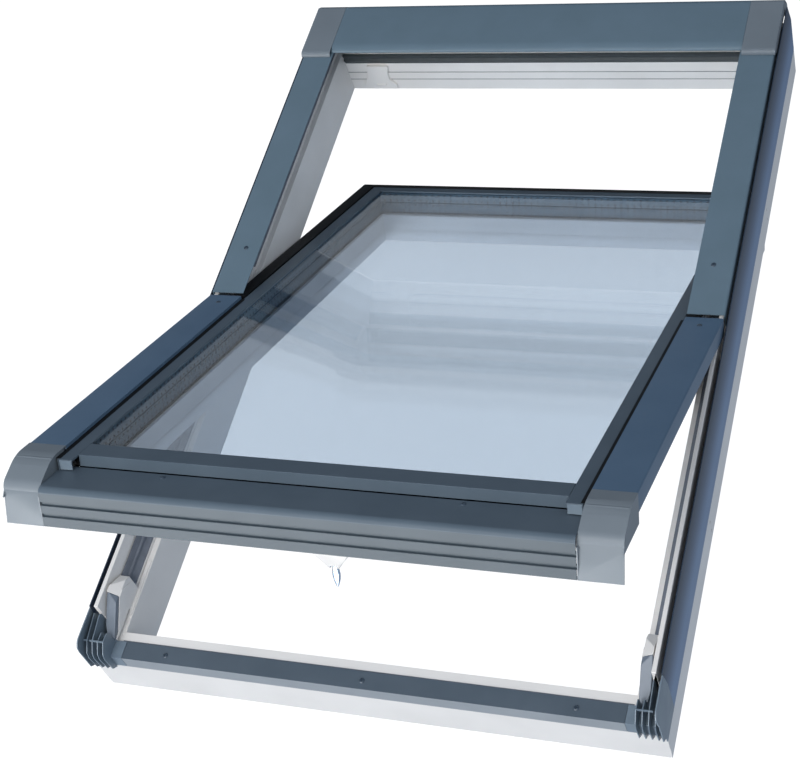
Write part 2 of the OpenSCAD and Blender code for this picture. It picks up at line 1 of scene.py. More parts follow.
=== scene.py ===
import json
import math
import bpy
import bmesh
import numpy as np
from mathutils import Matrix, Vector


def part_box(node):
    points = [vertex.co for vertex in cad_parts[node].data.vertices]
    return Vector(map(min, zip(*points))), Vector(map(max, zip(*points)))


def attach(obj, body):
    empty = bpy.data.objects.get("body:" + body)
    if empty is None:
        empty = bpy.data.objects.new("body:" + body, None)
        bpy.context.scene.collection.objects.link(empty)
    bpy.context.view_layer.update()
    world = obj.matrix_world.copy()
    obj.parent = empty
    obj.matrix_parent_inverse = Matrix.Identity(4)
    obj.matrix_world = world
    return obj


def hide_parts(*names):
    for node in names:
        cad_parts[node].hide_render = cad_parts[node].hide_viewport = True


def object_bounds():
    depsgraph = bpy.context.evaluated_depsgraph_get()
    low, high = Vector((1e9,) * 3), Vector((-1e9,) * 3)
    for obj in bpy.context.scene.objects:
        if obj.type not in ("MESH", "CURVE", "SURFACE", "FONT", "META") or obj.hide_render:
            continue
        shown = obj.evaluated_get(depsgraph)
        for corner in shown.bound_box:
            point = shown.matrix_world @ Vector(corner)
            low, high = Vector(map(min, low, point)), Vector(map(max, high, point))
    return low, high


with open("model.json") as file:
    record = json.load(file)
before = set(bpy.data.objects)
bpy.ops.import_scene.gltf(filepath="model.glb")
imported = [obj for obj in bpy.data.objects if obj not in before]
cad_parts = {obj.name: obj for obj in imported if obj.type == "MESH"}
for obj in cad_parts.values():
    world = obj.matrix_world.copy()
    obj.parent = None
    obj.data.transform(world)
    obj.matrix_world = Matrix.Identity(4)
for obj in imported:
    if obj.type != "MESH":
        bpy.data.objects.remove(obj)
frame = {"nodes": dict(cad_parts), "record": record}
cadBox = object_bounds()
mm = 0.001
record = frame["record"]
nodes = frame["nodes"]
joints = {joint["name"]: joint for joint in record["behaviour"]["joints"]}
bodyOf = {node: body for body, members in record["behaviour"]["bodies"].items() for node in members}
slotOf = {row["node"]: row["material_slot"] for row in record["subparts"]}
pivot = np.array(joints["sash_pivot"]["pos_m"])
openAngle = -math.radians(joints["sash_pivot"]["range_deg"][0])  # the sash stands this far from closed


def toLinear(hexColour, alpha=1.0):
    # sRGB hex to linear light
    parts = [int(hexColour[i:i + 2], 16) / 255 for i in (1, 3, 5)]
    return [p / 12.92 if p <= 0.04045 else ((p + 0.055) / 1.055) ** 2.4 for p in parts] + [alpha]


def openSash(points):
    # turns points of the closed sash about the pivot axis to where it stands
    c, s = math.cos(openAngle), math.sin(openAngle)
    q = points - pivot
    return np.stack([q[..., 0], q[..., 1] * c + q[..., 2] * s, q[..., 2] * c - q[..., 1] * s], -1) + pivot


# Materials


def addNode(tree, kind, settings=None, links=None):
    # one node with its settings, and its inputs linked to other nodes' outputs
    node = tree.nodes.new(kind)
    for key, value in (settings or {}).items():
        if key in node.inputs:
            node.inputs[key].default_value = value
        else:
            setattr(node, key, value)
    for key, source in (links or {}).items():
        tree.links.new(source, node.inputs[key])
    return node


def newMaterial(name, settings):
    # a principled material with its even settings, and the object's own coordinates for its patterns
    material = bpy.data.materials.new(name)
    material.use_nodes = True
    tree = material.node_tree
    shader = tree.nodes["Principled BSDF"]
    for key, value in settings.items():
        shader.inputs[key].default_value = value
    where = addNode(tree, "ShaderNodeTexCoord")
    return material, tree, shader, where.outputs["Object"]


def dress(tree, shader, tone, colours, wear, roughness, relief, strength, depth):
    # gives one shader its colour from a tone, its roughness from a wear pattern and its bump from a relief
    ramp = addNode(tree, "ShaderNodeValToRGB", links={"Fac": tone})
    for element, colour, position in zip(ramp.color_ramp.elements, colours, (0.3, 0.7)):
        element.color = toLinear(colour)
        element.position = position
    rough = addNode(tree, "ShaderNodeMapRange", {"To Min": roughness[0], "To Max": roughness[1]},
                    {"Value": wear})
    bump = addNode(tree, "ShaderNodeBump", {"Strength": strength, "Distance": depth}, {"Height": relief})
    for name, socket in [("Base Color", ramp.outputs["Color"]), ("Roughness", rough.outputs["Result"]),
                         ("Normal", bump.outputs["Normal"])]:
        tree.links.new(socket, shader.inputs[name])


def powderCoat(name, low, high, roughness, specular):
    # Polyester powder coat baked on aluminium: an even satin colour, a faint orange peel and soft highlights.
    material, tree, shader, where = newMaterial(name, {"IOR": 1.5, "Specular IOR Level": specular})
    clouds = addNode(tree, "ShaderNodeTexNoise", {"Scale": 1 / (60 * mm), "Detail": 3.0}, {"Vector": where})
    peel = addNode(tree, "ShaderNodeTexNoise", {"Scale": 1 / (0.9 * mm), "Detail": 2.0}, {"Vector": where})
    dress(tree, shader, clouds.outputs["Fac"], (low, high), peel.outputs["Fac"],
          (roughness - 0.04, roughness + 0.05), peel.outputs["Fac"], 0.12, 0.02 * mm)
    return material


def extrudedPvc(name, low, high, roughness):
    # White PVC-U pulled through a die: low gloss, a fine skin and a cloudy tone.
    material, tree, shader, where = newMaterial(name, {"IOR": 1.54})
    clouds = addNode(tree, "ShaderNodeTexNoise", {"Scale": 1 / (90 * mm), "Detail": 2.0}, {"Vector": where})
    fine = addNode(tree, "ShaderNodeTexNoise", {"Scale": 1 / (2.5 * mm), "Detail": 3.0}, {"Vector": where})
    dress(tree, shader, clouds.outputs["Fac"], (low, high), fine.outputs["Fac"],
          (roughness - 0.05, roughness + 0.06), fine.outputs["Fac"], 0.1, 0.03 * mm)
    return material


def mouldedPlastic(name, low, high, roughness):
    # Injection moulded plastic: a fine spark-eroded grain that softens its shine.
    material, tree, shader, where = newMaterial(name, {"IOR": 1.49})
    grain = addNode(tree, "ShaderNodeTexNoise", {"Scale": 1 / (0.7 * mm), "Detail": 3.0}, {"Vector": where})
    clouds = addNode(tree, "ShaderNodeTexNoise", {"Scale": 1 / (25 * mm), "Detail": 2.0}, {"Vector": where})
    dress(tree, shader, clouds.outputs["Fac"], (low, high), grain.outputs["Fac"],
          (roughness - 0.06, roughness + 0.06), grain.outputs["Fac"], 0.25, 0.03 * mm)
    return material


def epdmRubber(name, low, high, roughness):
    # Extruded rubber: dull, with a dusty bloom and a fine skin.
    material, tree, shader, where = newMaterial(name, {"IOR": 1.5, "Specular IOR Level": 0.3})
    bloom = addNode(tree, "ShaderNodeTexNoise", {"Scale": 1 / (14 * mm), "Detail": 5.0, "Roughness": 0.6},
                    {"Vector": where})
    skin = addNode(tree, "ShaderNodeTexNoise", {"Scale": 1 / (0.8 * mm), "Detail": 2.0}, {"Vector": where})
    dress(tree, shader, bloom.outputs["Fac"], (low, high), bloom.outputs["Fac"],
          (roughness - 0.08, roughness + 0.08), skin.outputs["Fac"], 0.3, 0.04 * mm)
    return material


def platedSteel(name, low, high, roughness):
    # Zinc-plated or galvanised steel: bright grey metal with a soft spangle and rolling marks.
    material, tree, shader, where = newMaterial(name, {"Metallic": 1.0})
    spangle = addNode(tree, "ShaderNodeTexVoronoi", {"Scale": 1 / (6 * mm)}, {"Vector": where})
    marks = addNode(tree, "ShaderNodeTexNoise", {"Scale": 1 / (0.9 * mm), "Detail": 3.0}, {"Vector": where})
    dress(tree, shader, spangle.outputs["Distance"], (low, high), marks.outputs["Fac"],
          (roughness - 0.08, roughness + 0.1), marks.outputs["Fac"], 0.2, 0.02 * mm)
    return material


def floatGlass(name, tint):
    # Coated float glass: clear, faintly blue, with a clean mirror; lamps shine through it.
    # Its IOR is lower than the 1.5 of plain glass, to match how little the coated panes mirror.
    material, tree, shader, where = newMaterial(name, {"Transmission Weight": 1.0, "IOR": 1.22,
                                                       "Base Color": toLinear(tint)})
    film = addNode(tree, "ShaderNodeTexNoise", {"Scale": 1 / (180 * mm), "Detail": 2.0}, {"Vector": where})
    rough = addNode(tree, "ShaderNodeMapRange", {"To Min": 0.0, "To Max": 0.02},
                    {"Value": film.outputs["Fac"]})
    tree.links.new(rough.outputs["Result"], shader.inputs["Roughness"])
    clear = addNode(tree, "ShaderNodeBsdfTransparent", {"Color": toLinear(tint)})
    path = addNode(tree, "ShaderNodeLightPath")
    mix = addNode(tree, "ShaderNodeMixShader", links={0: path.outputs["Is Shadow Ray"], 1: shader.outputs[0],
                                                      2: clear.outputs[0]})
    tree.links.new(mix.outputs[0], tree.nodes["Material Output"].inputs["Surface"])
    return material


finishes = {
    "slate_cladding": powderCoat("slate powder-coated aluminium", "#61747F", "#657884", 0.42, 0.3),
    # the sash covers take a darker, bluer copy of the same slate coat: painted shade, as they tilt away from
    # the light
    "sash_cladding": powderCoat("slate powder-coated aluminium, sash, painted shade", "#556C82", "#5A7187", 0.4, 0.3),
    "side_cladding": powderCoat("slate powder-coated aluminium, side", "#667FA1", "#6B86A8", 0.4, 0.4),
    "light_cladding": powderCoat("light slate powder-coated aluminium", "#71797F", "#767E84", 0.4, 0.3),
    "front_cladding": powderCoat("slate extruded and coated aluminium", "#535F69", "#58646E", 0.3, 0.14),
    # a darker copy of the front cladding's coat for its lower, ribbed faces: painted shade
    "ribs_painted_shade": powderCoat("slate coated aluminium, ribbed face, painted shade", "#485259", "#4D575E", 0.3, 0.14),
    "bottom_strip": powderCoat("dark slate coated aluminium strip", "#4D5862", "#545F69", 0.34, 0.4),
    # a lighter copy of the strip's coat for its front faces: painted sheen
    "strip_front_sheen": powderCoat("slate coated aluminium strip, painted sheen on its front", "#8C9297", "#949A9F", 0.3, 0.5),
    "screw": powderCoat("slate lacquered screw", "#36424E", "#404D5A", 0.35, 0.5),
    "corner_plastic": mouldedPlastic("slate moulded ASA", "#6A7885", "#77858F", 0.4),
    "guide_plastic": mouldedPlastic("grey moulded POM", "#636C77", "#6D7681", 0.4),
    "spacer_bar": mouldedPlastic("warm-edge spacer", "#304B5B", "#375262", 0.5),
    # dark discs for the spacer's holes: painted shade inside the holes
    "perforation": mouldedPlastic("spacer perforation, painted hole shade", "#151D25", "#1B242C", 0.6),
    "white_plastic": extrudedPvc("white extruded PVC-U", "#E4E0DB", "#ECE8E3", 0.34),
    # a darker copy of the white PVC-U for the faces inside the top rail's grooves: painted shade
    "groove": extrudedPvc("PVC-U, painted shade in the grooves", "#8A8A88", "#949492", 0.5),
    "rubber": epdmRubber("black EPDM rubber", "#060709", "#0D0F12", 0.6),
    # the grey seal darkened where it runs under the hood: painted shade
    "seal_shade_under_hood": epdmRubber("grey seal, painted shade under the hood", "#3B4041", "#454A4B", 0.55),
    "grey_seal": epdmRubber("grey TPE seal", "#6A6F78", "#797E87", 0.5),
    "glass": floatGlass("coated float glass", "#E5EBF1"),
    "galvanised_steel": platedSteel("galvanised steel", "#A6A9AC", "#BEC1C4", 0.35),
    "fitting_steel": platedSteel("zinc-plated steel", "#B4B7BA", "#D0D2D4", 0.3),
    "handle_metal": platedSteel("blue-passivated zinc", "#9DB4CC", "#C4D4E4", 0.22)}


def shadeByHeight(material, dark, clear, least):
    # painted reflection: the base colour darkens evenly from one height to another, for the dark reflection
    # near the top lip
    tree = material.node_tree
    shader = tree.nodes["Principled BSDF"]
    coat = shader.inputs["Base Color"].links[0].from_socket
    where = addNode(tree, "ShaderNodeTexCoord")
    height = addNode(tree, "ShaderNodeSeparateXYZ", links={0: where.outputs["Object"]})
    shade = addNode(tree, "ShaderNodeMapRange", {
        "From Min": dark, "From Max": clear, "To Min": least, "To Max": 1.0}, {"Value": height.outputs["Z"]})
    mixed = addNode(tree, "ShaderNodeVectorMath", {"operation": "SCALE"}, {
        0: coat, "Scale": shade.outputs["Result"]})
    tree.links.new(mixed.outputs["Vector"], shader.inputs["Base Color"])


# Painted reflection: the side claddings' colour darkens towards their top lip.
shadeByHeight(finishes["side_cladding"], dark=130 * mm, clear=75 * mm, least=0.2)
print("materials made:", len(finishes))


# Shapes


def shutSash(points):
    # the other way round: where points of the standing sash lie when it is shut
    c, s = math.cos(openAngle), math.sin(openAngle)
    q = points - pivot
    return np.stack([q[..., 0], q[..., 1] * c - q[..., 2] * s, q[..., 2] * c + q[..., 1] * s], -1) + pivot


def shutBox(node):
    # lowest and highest corner of a sash node with the sash shut
    mesh = nodes[node].data
    points = np.empty(len(mesh.vertices) * 3)
    mesh.vertices.foreach_get("co", points)
    points = shutSash(points.reshape(-1, 3))
    return points.min(0), points.max(0)


def fillet(points, radii, steps=6):
    # every inner corner of a line becomes an arc that touches both its sides
    points = np.asarray(points, float)
    line = [points[:1]]
    for before, here, after, radius in zip(points[:-2], points[1:-1], points[2:], radii):
        a, b = before - here, after - here
        reach = 0.49 * min(np.linalg.norm(a), np.linalg.norm(b))
        a, b = a / np.linalg.norm(a), b / np.linalg.norm(b)
        half = 0.5 * math.acos(np.clip(a @ b, -1, 1))
        cut = min(radius / math.tan(half), reach)
        if cut < 1e-7:
            line.append(here[None])
            continue
        centre = here + (a + b) / np.linalg.norm(a + b) * cut / math.cos(half)
        first, last = here + a * cut - centre, here + b * cut - centre
        sweep = math.pi - 2 * half
        t = np.linspace(0, 1, steps + 1)[:, None]
        line.append(centre + (np.sin((1 - t) * sweep) * first + np.sin(t * sweep) * last) / math.sin(sweep))
    line.append(points[-1:])
    return np.concatenate(line)


def sheetOutline(line, thickness):
    # a line, and the same line moved sideways by the sheet's thickness, as one closed outline
    along = np.diff(line, axis=0)
    along /= np.linalg.norm(along, axis=1, keepdims=True)
    across = np.stack([-along[:, 1], along[:, 0]], -1)
    joint = np.concatenate([across[:1], across[:-1] + across[1:], across[-1:]])
    joint /= np.linalg.norm(joint, axis=1, keepdims=True)
    stretch = np.einsum("ij,ij->i", joint, np.concatenate([across[:1], across]))
    return np.concatenate([line, (line + thickness * joint / stretch[:, None])[::-1]])


def newPiece(name, points, faces):
    # an object of one closed mesh, with its faces turned outwards
    mesh = bpy.data.meshes.new(name)
    mesh.from_pydata(np.asarray(points, float).reshape(-1, 3).tolist(), [], faces)
    work = bmesh.new()
    work.from_mesh(mesh)
    bmesh.ops.remove_doubles(work, verts=work.verts, dist=1e-6)
    bmesh.ops.recalc_face_normals(work, faces=work.faces)
    work.to_mesh(mesh)
    work.free()
    piece = bpy.data.objects.new(name, mesh)
    bpy.context.collection.objects.link(piece)
    return piece


def gridFaces(rows, columns, closed=False, first=0):
    # quads of a grid of points, row after row; closed joins the last column to the first
    r = np.arange(rows - 1)[:, None]
    c = np.arange(columns if closed else columns - 1)[None, :]
    d = (c + 1) % columns
    quads = np.stack([r * columns + c, r * columns + d, (r + 1) * columns + d, (r + 1) * columns + c], -1)
    return (quads.reshape(-1, 4) + first).tolist()


def carried(section, axis, stations):
    # a closed section drawn across X (as Y, Z) or across Y (as X, Z), carried through the stations
    n = len(section)
    stations = np.asarray(stations, float)
    u = np.broadcast_to(section[None, :, 0], (len(stations), n))
    v = np.broadcast_to(section[None, :, 1], (len(stations), n))
    t = np.broadcast_to(stations[:, None], (len(stations), n))
    points = np.stack([t, u, v] if axis == "X" else [u, t, v], -1)
    faces = gridFaces(len(stations), n, closed=True)
    last = (len(stations) - 1) * n
    faces += [list(range(n))[::-1], list(range(last, last + n))]
    return points, faces


def lathe(profile, turns=20):
    # a profile (distance from the axis, height) turned about Z; its ends lie on the axis
    angle = np.linspace(0, 2 * math.pi, turns, endpoint=False)
    r, z = profile[:, 0][:, None], profile[:, 1][:, None]
    points = np.stack([r * np.cos(angle), r * np.sin(angle), z + 0 * angle], -1)
    return points, gridFaces(len(profile), turns, closed=True)


def markEdges(mesh, smoothAngle, wideBend=0.0):
    # smooth faces with crisp edges; wide bends are the outer edges between two broad faces, and the
    # widest ones run across the window only
    work = bmesh.new()
    work.from_mesh(mesh)
    weight = work.edges.layers.float.new("bevel_weight_edge") if wideBend else None
    for edge in work.edges:
        turned = edge.calc_face_angle(0) if len(edge.link_faces) == 2 else 0
        edge.smooth = len(edge.link_faces) == 2 and turned < smoothAngle
        if not (wideBend and edge.is_convex and turned > math.radians(20)):
            continue
        length = edge.calc_length()
        alongX = abs(edge.verts[0].co.x - edge.verts[1].co.x) > 0.9 * length
        if length < 2 * mm or (wideBend > 10 * mm and not alongX):
            continue
        breadth = min(face.calc_area() for face in edge.link_faces) / length
        if breadth > 0.8 * wideBend + 1.2 * mm:
            edge[weight] = 1.0
    for face in work.faces:
        face.smooth = True
    work.to_mesh(mesh)
    work.free()


def place(piece, body, replaced, finish, soft=0.4 * mm, bend=0.0, crisp=28):
    # gives a piece its finish and soft edges, and lets it ride on its body
    piece.data.materials.clear()
    piece.data.materials.append(finish)
    markEdges(piece.data, math.radians(crisp), bend)
    bevels = [("rounded bends", bend, "WEIGHT", 5), ("soft edges", soft, "ANGLE", 2)]
    for name, width, limit, segments in bevels:
        if width:
            bevel = piece.modifiers.new(name, "BEVEL")
            bevel.width = width
            bevel.segments = segments
            bevel.limit_method = limit
            bevel.angle_limit = math.radians(crisp)
            bevel.use_clamp_overlap = True
            bevel.harden_normals = True
    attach(piece, body)
    if replaced:
        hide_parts(*replaced)
    return piece


def softened(node, finish, bend):
    # a CAD node's own shape as one joined mesh, with soft edges
    mesh = nodes[node].data.copy()
    work = bmesh.new()
    work.from_mesh(mesh)
    bmesh.ops.remove_doubles(work, verts=work.verts, dist=2e-6)
    bmesh.ops.dissolve_limit(work, angle_limit=math.radians(0.5), verts=work.verts, edges=work.edges)
    work.to_mesh(mesh)
    work.free()
    piece = bpy.data.objects.new(node + "_finished", mesh)
    bpy.context.collection.objects.link(piece)
    return place(piece, bodyOf[node], [node], finish, bend=bend)


def tint(piece, finish, chosen):
    # a second finish on the faces that chosen() picks by their middles and normals
    piece.data.materials.append(finish)
    middles = np.empty(len(piece.data.polygons) * 3)
    normals = np.empty_like(middles)
    piece.data.polygons.foreach_get("center", middles)
    piece.data.polygons.foreach_get("normal", normals)
    which = chosen(middles.reshape(-1, 3), normals.reshape(-1, 3))
    piece.data.polygons.foreach_set("material_index", which.astype(np.int32))


def between(values, limits):
    return (values > limits[0]) & (values < limits[1])


made = set()  # CAD nodes that new pieces stand in for

# Front cladding of the sash: one extruded profile with a round nose and two grooves.
front = {"nose": 17 * mm, "grooves": (99.4 * mm, 84.2 * mm), "halfGroove": 2.3 * mm, "grooveDepth": 3.2 * mm,
         "grooveTaper": 0.5 * mm, "noseEnd": 6 * mm, "sheet": 1.3 * mm, "foot": 7 * mm, "shadedRibsBelow": 108 * mm}
low, high = shutBox("sash_front_cladding")
corner = [(high[1], high[2]), (low[1], high[2]), (low[1], front["grooves"][0] + front["noseEnd"])]
line = [fillet(corner, [front["nose"]], 14)[:-1]]
half, inside = front["halfGroove"], low[1] + front["grooveDepth"]
for z in front["grooves"]:
    line.append(np.array([(low[1], z + half), (inside, z + half - front["grooveTaper"]),
                          (inside, z - half + front["grooveTaper"]), (low[1], z - half)]))
line.append(np.array([(low[1], low[2]), (low[1] + front["foot"], low[2])]))
points, faces = carried(sheetOutline(np.concatenate(line), front["sheet"]), "X", [low[0], high[0]])
piece = newPiece("sash_front_profile", openSash(points), faces)
place(piece, "sash", ["sash_front_cladding"], finishes["front_cladding"], soft=0.35 * mm)
# The lower, ribbed faces get the darker copy of the same coat: painted shade.
tint(piece, finishes["ribs_painted_shade"], lambda middle, normal: shutSash(middle)[:, 2] < front["shadedRibsBelow"])
made.add("sash_front_cladding")

# Hood: a folded sheet whose front edge is a quarter of an ellipse, wider than it is high. Behind it the
# line runs down over three bends, each given by how far it lies from the back and from the top.
hood = {"noseReach": 15 * mm, "noseDrop": 7.7 * mm, "sheet": 1.5 * mm,
        "backBends": [(23 * mm, 0, 10 * mm), (14 * mm, 6 * mm, 8 * mm), (2 * mm, 24 * mm, 20 * mm)]}
low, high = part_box("hood_panel")
t = np.linspace(0, math.pi / 2, 13)
nose = np.stack([low[1] + hood["noseReach"] * (1 - np.cos(t)),
                 high[2] - hood["noseDrop"] * (1 - np.sin(t))], -1)
back = [(high[1] - fromBack, high[2] - fromTop) for fromBack, fromTop, radius in hood["backBends"]]
radii = [radius for fromBack, fromTop, radius in hood["backBends"]]
line = np.concatenate([nose, fillet([nose[-1], *back, (high[1], low[2])], radii)[1:]])
points, faces = carried(sheetOutline(line, -hood["sheet"]), "X", [low[0], high[0]])
piece = newPiece("hood_sheet", points, faces)
place(piece, "frame", ["hood_panel"], finishes["slate_cladding"], soft=0.35 * mm)
made.add("hood_panel")

# Outer gasket of the upper half of the sash: one rubber section led round three sides, with mitred corners.
# The section's points are the share of the way from the outer to the inner line, and the height in mm.
gasket = {"outer": (347.3, 539.8), "inner": (328.8, 535.0), "start": -7,
          "section": [(0, 131.6), (0, 138.6), (0.16, 139.3), (0.5, 138.3), (0.8, 138.2), (1, 137.4),
                      (1, 131.6)]}
outer, inner = [np.array([(-x, gasket["start"]), (-x, y), (x, y), (x, gasket["start"])])
                for x, y in (gasket["outer"], gasket["inner"])]
share = np.array(gasket["section"])
n = len(share)
plan = outer[:, None, :] + (inner - outer)[:, None, :] * share[None, :, :1]
points = np.concatenate([plan, np.broadcast_to(share[None, :, 1:], (4, n, 1))], -1) * mm
faces = gridFaces(4, n, closed=True) + [list(range(n)), list(range(3 * n, 4 * n))[::-1]]
piece = newPiece("outer_gasket_ring", openSash(points), faces)
place(piece, "sash", ["sash_outer_gasket"], finishes["rubber"], soft=0.5 * mm)
made.add("sash_outer_gasket")

# Thin black sheets over the side beads, along the side covers' inner edges, stand in for the shaded gaps
# between bead and cover: painted shade. A plug closes the hollow lower end of each bead.
gapSheet = {"width": 6.2 * mm, "lift": 0.15 * mm, "thick": 0.3 * mm, "ends": (2 * mm, 1 * mm)}
plug = {"height": 14 * mm, "wall": 1.6 * mm, "ends": (0.8 * mm, 3 * mm)}
for side, hand in [(-1, "left"), (1, "right")]:
    beadLow, beadHigh = shutBox(hand + "_bead")
    coverLow, coverHigh = shutBox(f"sash_{hand}_cover")
    edge = min(abs(coverLow[0]), abs(coverHigh[0]))
    z = beadHigh[2] + gapSheet["lift"]
    section = np.array([(edge - gapSheet["width"], z), (edge, z), (edge, z + gapSheet["thick"]),
                        (edge - gapSheet["width"], z + gapSheet["thick"])])
    ends = [beadLow[1] + gapSheet["ends"][0], coverHigh[1] - gapSheet["ends"][1]]
    points, faces = carried(section * (side, 1), "Y", ends)
    piece = newPiece(f"bead_gap_shade_{hand}", openSash(points), faces)
    # black rubber finish here is painted shade of the gap
    place(piece, "sash", [], finishes["rubber"], soft=0)

    near, far = sorted((abs(beadLow[0]), abs(beadHigh[0])))
    near, far, under = near + plug["wall"], far - plug["wall"], z - plug["height"]
    section = np.array([(near, under), (far, under), (far, z - plug["wall"]), (near, z - plug["wall"])])
    points, faces = carried(section * (side, 1), "Y", [beadLow[1] + end for end in plug["ends"]])
    piece = newPiece(f"bead_plug_{hand}", openSash(points), faces)
    place(piece, "sash", [], finishes["corner_plastic"], soft=0.3 * mm)

# Perforations of the spacers: two rows of small dark discs along every side, each a short prism that stands
# a little out of the bar; their darkness is painted shade of the holes. They are drawn larger than the real
# ones, so that they can show.
holes = {"pitch": 11 * mm, "radius": 1.9 * mm, "rows": (0.2, 0.8), "proud": 0.225 * mm, "depth": 0.25 * mm,
         "sides": 8, "barWidth": 6.5 * mm, "endMargin": 8 * mm}
n = holes["sides"]
angle = np.arange(n) * 2 * math.pi / n
ring = holes["radius"] * np.stack([np.cos(angle), np.sin(angle)], -1)
allPoints, allFaces, total = [], [], 0
for node in ("outer_spacer", "inner_spacer"):
    low, high = shutBox(node)
    for alongX in (True, False):
        length, offset = (high[0], high[1]) if alongX else (high[1], high[0])
        reach = length - holes["barWidth"] - holes["endMargin"]
        spots = np.arange(-reach, reach, holes["pitch"])[:, None, None]
        count = len(spots)
        for side in (-1, 1):
            face = side * (offset - holes["barWidth"])
            for row in holes["rows"]:
                t = spots + ring[None, :, :1]
                z = low[2] + row * (high[2] - low[2]) + 0 * spots + ring[None, :, 1:]
                for inwards in (holes["proud"], -holes["depth"]):
                    depth = np.full_like(t, face - side * inwards)
                    allPoints.append(np.concatenate([t, depth, z] if alongX else [depth, t, z], -1))
                a = total + np.arange(count)[:, None] * n + np.arange(n)[None, :]
                b = a + count * n
                total += 2 * count * n
                allFaces += a.tolist() + b[:, ::-1].tolist()
                allFaces += np.stack([a, np.roll(a, -1, 1), np.roll(b, -1, 1), b], -1).reshape(-1, 4).tolist()
stacked = np.concatenate([part.reshape(-1, 3) for part in allPoints])
piece = newPiece("spacer_perforations", openSash(stacked), allFaces)
place(piece, "sash", [], finishes["perforation"], soft=0)

# Screws: low domed heads with a cross recess. The head is a square grid mapped onto a disc, and its height is
# a dome that falls with the 2.4th power of the distance from the middle.
screw = {"radius": 3.6 * mm, "height": 1.6 * mm, "sunk": 0.4 * mm, "cross": 0.5 * mm, "crossReach": 2.1 * mm,
         "crossDepth": 0.9 * mm, "grid": 29}
screwPlaces = {"coverX": 353 * mm, "coverY": 75 * mm, "stripX": 280 * mm, "stripIn": 12 * mm,
               "sashX": 354 * mm, "sashY": -44 * mm, "frontX": 188 * mm, "frontY": -556 * mm}
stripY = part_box("bottom_rail_cover")[0][1] + screwPlaces["stripIn"]


def screwRow(x, y, under, sides=(-1, 1)):
    return [(side * x, y, under) for side in sides]


frameSpots = screwRow(screwPlaces["coverX"], screwPlaces["coverY"], "upper_right_cover")
frameSpots += screwRow(screwPlaces["stripX"], stripY, "bottom_rail_cover", (-1, 0, 1))
sashSpots = screwRow(screwPlaces["sashX"], screwPlaces["sashY"], "sash_right_cover")
sashSpots += screwRow(screwPlaces["frontX"], screwPlaces["frontY"], "sash_front_cladding")
n = screw["grid"]
g = np.linspace(-1, 1, n)
u, v = np.meshgrid(g, g, indexing="ij")
x, y = u * np.sqrt(1 - v * v / 2), v * np.sqrt(1 - u * u / 2)
r = np.sqrt(x * x + y * y)
x, y = x * screw["radius"], y * screw["radius"]
dome = screw["height"] * np.sqrt(np.clip(1 - 0.96 * r ** 2.4, 0, 1))
inCross = (np.minimum(abs(x), abs(y)) < screw["cross"]) & (np.maximum(abs(x), abs(y)) < screw["crossReach"])
top = np.stack([x, y, dome - screw["crossDepth"] * inCross], -1)
base = np.stack([x, y, 0 * x - screw["sunk"]], -1)
along = np.arange(n)
border = np.concatenate([along, along * n + n - 1, n * n - 1 - along, (along * n)[::-1]])
rim = np.stack([border[:-1], border[1:], border[1:] + n * n, border[:-1] + n * n], -1)
rim = rim[border[:-1] != border[1:]].tolist()
headFaces = np.array(gridFaces(n, n) + gridFaces(n, n, first=n * n) + rim)
for name, spots, node, body in [("frame_screws", frameSpots, "frame_cover_screws", "frame"),
                                ("sash_screws", sashSpots, "sash_cover_screws", "sash")]:
    heads, faces = [], []
    for i, (sx, sy, under) in enumerate(spots):
        z = (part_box(under) if body == "frame" else shutBox(under))[1][2]
        head = np.concatenate([top.reshape(-1, 3), base.reshape(-1, 3)]) + (sx, sy, z)
        heads.append(head if body == "frame" else openSash(head))
        faces += (headFaces + i * 2 * n * n).tolist()
    piece = newPiece(name, np.concatenate(heads), faces)
    place(piece, body, [node], finishes["screw"], soft=0)
    made.add(node)

# Handle lever: a leaf of cast metal. Its section is an ellipse whose two half axes change down its length.
lever = {"above": 3.5 * mm, "length": 40 * mm, "around": 24, "along": 40,
         "widths": [3.4, 3.9, 3.6, 4.6, 5.4, 4.9, 3.4, 1.2],
         "depths": [3.6, 2.6, 2.2, 2.3, 2.2, 1.9, 1.5, 0.9],
         "axleRadius": 2 * mm, "axleReach": 10 * mm}
pin = shutSash(np.array(joints["handle_turn"]["pos_m"])[None])[0]
t = np.linspace(0, 1, lever["along"])
knots = np.linspace(0, 1, len(lever["widths"]))
width, depth = [np.interp(t, knots, lever[key])[:, None] * mm for key in ("widths", "depths")]
n = lever["around"]
angle = np.linspace(0, 2 * math.pi, n, endpoint=False)
down = (pin[2] + lever["above"] - t * lever["length"])[:, None] + 0 * angle
points = np.stack([pin[0] + width * np.cos(angle), pin[1] + depth * np.sin(angle), down], -1)
last = (lever["along"] - 1) * n
faces = gridFaces(lever["along"], n, closed=True) + [list(range(n)), list(range(last, last + n))[::-1]]
piece = newPiece("handle_leaf", openSash(points), faces)
place(piece, "handle", ["handle_lever"], finishes["handle_metal"], soft=0)
made.add("handle_lever")

radius, reach = lever["axleRadius"], lever["axleReach"]
points, faces = lathe(np.array([(0, -reach), (radius, -reach), (radius, reach), (0, reach)]))
points = np.stack([points[..., 2], points[..., 0], points[..., 1]], -1) + pin
piece = newPiece("handle_axle", openSash(points), faces)
place(piece, "handle", [], finishes["handle_metal"], soft=0.3 * mm)

